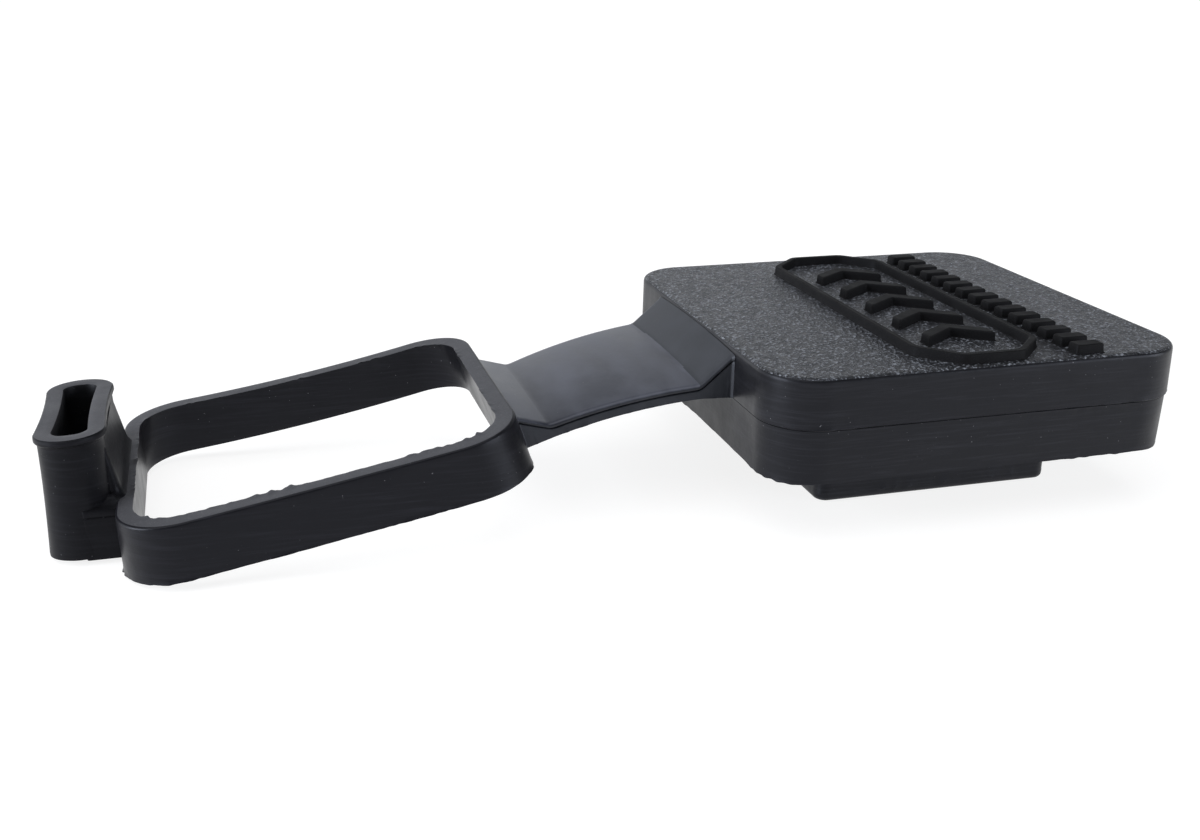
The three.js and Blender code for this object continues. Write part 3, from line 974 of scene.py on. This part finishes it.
def tether_ring():
    """The pitched ring, with torn flash at its foot and round its window's upper edge."""
    outer = rounded_rectangle(RING_LENGTH / 2, RING_WIDTH / 2, RING_CORNER_RADIUS, RING_POINTS)
    inner_half_x = (RING_LENGTH - RING_HOLDER_WALL - RING_STRAP_WALL) / 2
    inner_half_y = RING_WIDTH / 2 - RING_SIDE_WALL
    inner = rounded_rectangle(inner_half_x, inner_half_y, RING_INNER_RADIUS, RING_POINTS)
    inner = inner + [(RING_HOLDER_WALL - RING_STRAP_WALL) / 2, 0.0]
    outward = (outer - inner) / np.linalg.norm(outer - inner, axis=1)[:, None]
    rng = np.random.default_rng(seed=13)
    foot_flash = torn(RING_POINTS, RING_FOOT_FLASH, patches=41, rng=rng)
    inner_flash = torn(RING_POINTS, RING_INNER_FLASH, patches=61, rng=rng)
    wave = RING_WAVE * wander(RING_POINTS, waves=13, rng=rng)

    def row(across, height, push=0.0):
        flat = outer * (1 - across) + inner * across
        flat = flat + outward * np.broadcast_to(push, RING_POINTS)[:, None]
        return ring_placed(ring_settled(at_height(flat, height)))

    high = RING_HEIGHT
    rows = [row(0, 0.05 - 0.3 * foot_flash, foot_flash), row(0, 0.3, 0.25 * foot_flash)]
    rows += [row(0, high * share, wave) for share in (0.12, 0.3, 0.5, 0.7, 0.86)]
    rows += [row(0, high - drop, -inset) for inset, drop in arc_rows(RING_EDGE_RADIUS, 4)]
    top_start = len(rows) - 1
    rows += [row(0.25, high), row(0.5, high + 0.04), row(0.8, high)]
    rows.append(row(1, high + 0.25 * inner_flash, 0.22))
    rows.append(row(1, high - 0.06 + 0.55 * inner_flash, -0.5 * inner_flash))
    top_end = len(rows) - 1
    rows.append(row(1, high - 0.3, -0.3 * inner_flash))
    rows += [row(1, high * share, wave) for share in (0.9, 0.7, 0.5, 0.3, 0.12)]
    rows += [row(1, 0.3, 0.0), row(1, 0.06, 0.1), row(1, 0.0, 0.35), row(0.5, 0.0)]
    matt = {band: 1 for band in range(top_start, top_end)}
    piece = make_piece("ring_loop", loft(rows, closed=True), [RING_SIDE, MATT], matt)
    return finish_piece(piece, "tether", "ring_rubber", "tether_ring")


# ---------------------------------------------------------------- connector holder

def holder_placed(points):
    """The upright holder's frame to the frame of the whole cover."""
    lean = Matrix.Rotation(-HOLDER_LEAN, 3, "Y")
    roll = Matrix.Rotation(-HOLDER_ROLL, 3, "X")
    turned = points @ np.array(lean @ roll).T
    return turned + [HOLDER_X, 0.0, HOLDER_Z]


def holder_flared(points):
    """The outer flank stands out towards its foot."""
    x, y, z = points.T
    low = np.clip(1 - z / HOLDER_HEIGHT, 0, 1) ** HOLDER_FLARE_POWER
    outer = np.clip(-x / (HOLDER_WIDTH / 2), 0, 1)
    return np.column_stack([x - HOLDER_FLARE * low * outer, y, z])


def connector_holder():
    """The upright pocket with its lip, and the closed slot down its middle."""
    rng = np.random.default_rng(seed=17)
    foot_flash = torn(HOLDER_POINTS, HOLDER_FOOT_FLASH, patches=31, rng=rng)
    lip_flash = torn(HOLDER_POINTS, HOLDER_LIP_FLASH, patches=27, rng=rng)
    half_width = HOLDER_WIDTH / 2
    half_length = HOLDER_LENGTH / 2

    def row(growth, height, push=0.0):
        flat = waisted_outline(
            half_width + growth, half_length + growth, half_width + growth - 0.05,
            HOLDER_WAIST, HOLDER_POINTS,
        )
        outward = flat / np.linalg.norm(flat, axis=1)[:, None]
        flat = flat + outward * np.broadcast_to(push, HOLDER_POINTS)[:, None]
        return at_height(flat, height)

    def slot_row(growth, height):
        flat = waisted_outline(
            SLOT_WIDTH / 2 + growth, SLOT_LENGTH / 2 + growth, SLOT_CORNER_RADIUS + growth,
            SLOT_WAIST, HOLDER_POINTS,
        )
        return at_height(flat, height)

    top = HOLDER_HEIGHT
    lip = top - LIP_HEIGHT
    rows = [row(-2.0, 0.12), row(-0.4, 0.1)]
    rows += [row(-0.05, 0.08 - 0.2 * foot_flash, foot_flash), row(0, 0.5, 0.2 * foot_flash)]
    rows += [row(0, height) for height in (1.5, 4, 7, 10, 13, 16, 18.5, lip - 0.5)]
    rows += [row(0.08, lip - 0.2), row(0.3, lip), row(LIP_OVERHANG - 0.1, lip + 0.06)]
    rows.append(row(LIP_OVERHANG, lip + 0.25, 0.8 * lip_flash))
    rows += [row(LIP_OVERHANG, lip + 0.7, 0.4 * lip_flash), row(LIP_OVERHANG - 0.04, top - 0.2)]
    lip_top = len(rows)
    rows += [row(LIP_OVERHANG - 0.25, top), row(0, top), row(-1.1, top + 0.02)]
    rows += [slot_row(0.35, top), slot_row(0.1, top - 0.08)]
    slot_start = len(rows) - 1
    rows += [slot_row(0, height) for height in (top - 0.35, 17, 12, 7, HOLDER_FLOOR + 0.5)]
    rows += [slot_row(-0.4, HOLDER_FLOOR), slot_row(-1.5, HOLDER_FLOOR)]
    placed = [holder_placed(holder_flared(ring)) for ring in rows]
    bands = {band: 1 for band in range(lip_top, slot_start)}
    bands.update({band: 2 for band in range(slot_start, len(rows))})
    piece = make_piece("holder_pocket", loft(placed), [HOLDER_SIDE, MATT, SLOT_SIDE], bands)
    return finish_piece(piece, "tether", "holder_rubber", "connector_holder")


def moved_rectangle(low_x, high_x, low_y, high_y, radius, height, count=WEB_POINTS):
    """A level rounded rectangle between two corners."""
    flat = rounded_rectangle((high_x - low_x) / 2, (high_y - low_y) / 2, radius, count)
    return at_height(flat + [(low_x + high_x) / 2, (low_y + high_y) / 2], height)


def holder_web(name, side):
    """The web at one end of the holder, whose upper edge is eased and creased."""
    low, high = box_of(name)
    inner, outer = sorted((abs(low[1]), abs(high[1])))
    inner += WEB_INSET
    from_x = HOLDER_X - 0.2
    to_x = high[0] + WEB_OVERLAP
    rows = []
    profile = [
        (-0.4, low[2]), (0.0, low[2] + 0.15), (0.05, low[2] + 0.6), (0.0, 3.0), (0.0, 6.0),
        (-0.02, high[2] - 1.75), (-0.16, high[2] - 1.55), (-0.02, high[2] - 1.35),
        (0.0, high[2] - 0.35), (-0.12, high[2] - 0.1), (-0.4, high[2]),
    ]
    for growth, height in profile:
        near = outer + growth
        ends = (-near, -inner) if side < 0 else (inner, near)
        rows.append(moved_rectangle(from_x, to_x, *ends, WEB_CORNER, height))
    for share in np.linspace(0.1, 1.0, 8):
        fall = (1 - share) ** 2
        near = WEB_FILLET_END + (outer - 0.4 - WEB_FILLET_END) * fall
        ends = (-near, -WEB_FILLET_START) if side < 0 else (WEB_FILLET_START, near)
        back_x = HOLDER_X + WEB_FILLET_BACK + 1.4 * (1 - fall)
        rows.append(moved_rectangle(
            back_x, to_x - 0.2 - 1.6 * share, *ends, WEB_CORNER,
            high[2] + WEB_FILLET_HEIGHT * share,
        ))
    title = "web_near" if side < 0 else "web_far"
    piece = make_piece(title, loft(rows), [HOLDER_SIDE])
    return finish_piece(piece, "tether", "holder_rubber", name)


def holder_ramp():
    """The ramp from the ring's upper face to the underside of the holder's lip."""
    low, high = box_of("holder_ramp")
    foot_x = high[0] + RAMP_FOOT_OVERLAP
    foot_z = low[2] - RAMP_SINK
    head_x = HOLDER_X + RAMP_HEAD
    head_z = high[2] + 0.2
    back_x = HOLDER_X + RAMP_BACK
    half_length = high[1]
    rows = []
    shares = np.concatenate([[0.0, 0.03], np.linspace(0.08, 1.0, 12)])
    for share in shares:
        height = foot_z + (head_z - foot_z) * share
        fillet = max(0.0, 1 - share / RAMP_FILLET_SHARE) ** 2
        front = foot_x + (head_x - foot_x) * share
        front += RAMP_FILLET_REACH * fillet
        reach = half_length + RAMP_FILLET_WIDTH * fillet + RAMP_TAPER * (1 - share)
        back = back_x - (height - HOLDER_Z) * math.tan(HOLDER_LEAN)
        radius = min(RAMP_CORNER, (front - back) / 2 - 0.05)
        rows.append(moved_rectangle(back, front, -reach, reach, radius, height, RAMP_POINTS))
    piece = make_piece("ramp", loft(rows), [HOLDER_SIDE])
    return finish_piece(piece, "tether", "holder_rubber", "holder_ramp")


def finish_piece(piece, body, slot, *nodes):
    """Puts a rigid piece on its CAD body, in place of its CAD nodes."""
    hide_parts(*nodes)
    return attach(piece, body)


# ---------------------------------------------------------------- stage

def floor():
    """A plain pale floor just below the object."""
    mesh = bpy.data.meshes.new("studio_floor")
    grid = bmesh.new()
    bmesh.ops.create_grid(
        grid, x_segments=FLOOR_CELLS, y_segments=FLOOR_CELLS, size=FLOOR_SIDE / 2,
    )
    grid.to_mesh(mesh)
    grid.free()
    mesh.materials.append(floor_material())
    stage = bpy.data.objects.new("studio_floor", mesh)
    stage.location.z = -FLOOR_GAP * MM
    bpy.context.scene.collection.objects.link(stage)


def area_light(name, place, target, size, watts, color):
    """A rectangular panel that faces its target."""
    lamp = bpy.data.lights.new(name, "AREA")
    lamp.shape = "RECTANGLE"
    lamp.size, lamp.size_y = size
    lamp.energy = watts
    lamp.color = color
    light = bpy.data.objects.new(name, lamp)
    light.location = place
    light.rotation_mode = "QUATERNION"
    light.rotation_quaternion = (Vector(target) - Vector(place)).to_track_quat("-Z", "Y")
    bpy.context.scene.collection.objects.link(light)


def soft_sun(name, angle, strength, spread):
    """Broad light from one direction; angle and spread are in degrees."""
    lamp = bpy.data.lights.new(name, "SUN")
    lamp.energy = strength
    lamp.angle = math.radians(spread)
    light = bpy.data.objects.new(name, lamp)
    light.rotation_euler = [math.radians(a) for a in angle]
    bpy.context.scene.collection.objects.link(light)


def world_light():
    """A white surround, brightest behind the object near the horizon."""
    world = bpy.data.worlds.new("studio")
    world.use_nodes = True
    tree = world.node_tree
    background = tree.nodes["Background"]
    place = tree.nodes.new("ShaderNodeTexCoord")
    split = tree.nodes.new("ShaderNodeSeparateXYZ")
    tree.links.new(place.outputs["Generated"], split.inputs["Vector"])
    fades = []
    for axis, values in (("Z", WORLD_FADE), ("Y", WORLD_BEHIND), ("X", WORLD_RIGHT)):
        fade = tree.nodes.new("ShaderNodeMapRange")
        fade.interpolation_type = "SMOOTHSTEP"
        for name, value in zip(("From Min", "From Max", "To Min", "To Max"), values):
            fade.inputs[name].default_value = value
        tree.links.new(split.outputs[axis], fade.inputs["Value"])
        fades.append(fade.outputs["Result"])
    strength = fades[0]
    for fade in fades[1:]:
        product = tree.nodes.new("ShaderNodeMath")
        product.operation = "MULTIPLY"
        tree.links.new(strength, product.inputs[0])
        tree.links.new(fade, product.inputs[1])
        strength = product.outputs["Value"]
    tree.links.new(strength, background.inputs["Strength"])
    background.inputs["Color"].default_value = (*WORLD_COLOR, 1)
    bpy.context.scene.world = world


def camera():
    """The camera, aimed by its azimuth, elevation and roll."""
    lens = bpy.data.cameras.new("photo_angle")
    lens.lens = CAMERA_LENS
    lens.sensor_width = CAMERA_SENSOR
    lens.clip_start = 0.01
    lens.clip_end = 60
    view = bpy.data.objects.new("photo_angle", lens)
    a, e = CAMERA_AZIMUTH, CAMERA_ELEVATION
    back = Vector((math.sin(a) * math.cos(e), -math.cos(a) * math.cos(e), math.sin(e)))
    right = (-back).cross(Vector((0, 0, 1))).normalized()
    up = back.cross(right)
    turned_right = math.cos(CAMERA_ROLL) * right - math.sin(CAMERA_ROLL) * up
    turned_up = back.cross(turned_right)
    rotation = Matrix((turned_right, turned_up, back)).transposed()
    view.matrix_world = Matrix.Translation(CAMERA_AT) @ rotation.to_4x4()
    bpy.context.scene.collection.objects.link(view)
    bpy.context.scene.camera = view


cap_face()
cap_skirt()
receiver_plug()
plug_cross()
badge_frame()
for number in range(1, CHEVRON_COUNT + 1):
    badge_chevron(number)
for number in range(1, BAR_COUNT + 1):
    trim_bar(number)
strap_pieces()
tether_ring()
connector_holder()
holder_web("holder_web_near", -1)
holder_web("holder_web_far", 1)
holder_ramp()

floor()
world_light()
soft_sun("overhead", angle=(8, -14, 0), strength=1.6, spread=70)
area_light(
    "left_panel", place=(-1.25, -0.12, 0.3), target=(-0.1, -0.05, 0.0),
    size=(0.7, 0.6), watts=15, color=COOL,
)
area_light(
    "right_panel", place=(1.1, -0.85, 0.3), target=(-0.03, 0.0, 0.0),
    size=(0.9, 0.6), watts=10, color=COOL,
)
camera()
bpy.context.scene.view_settings.view_transform = "Standard"
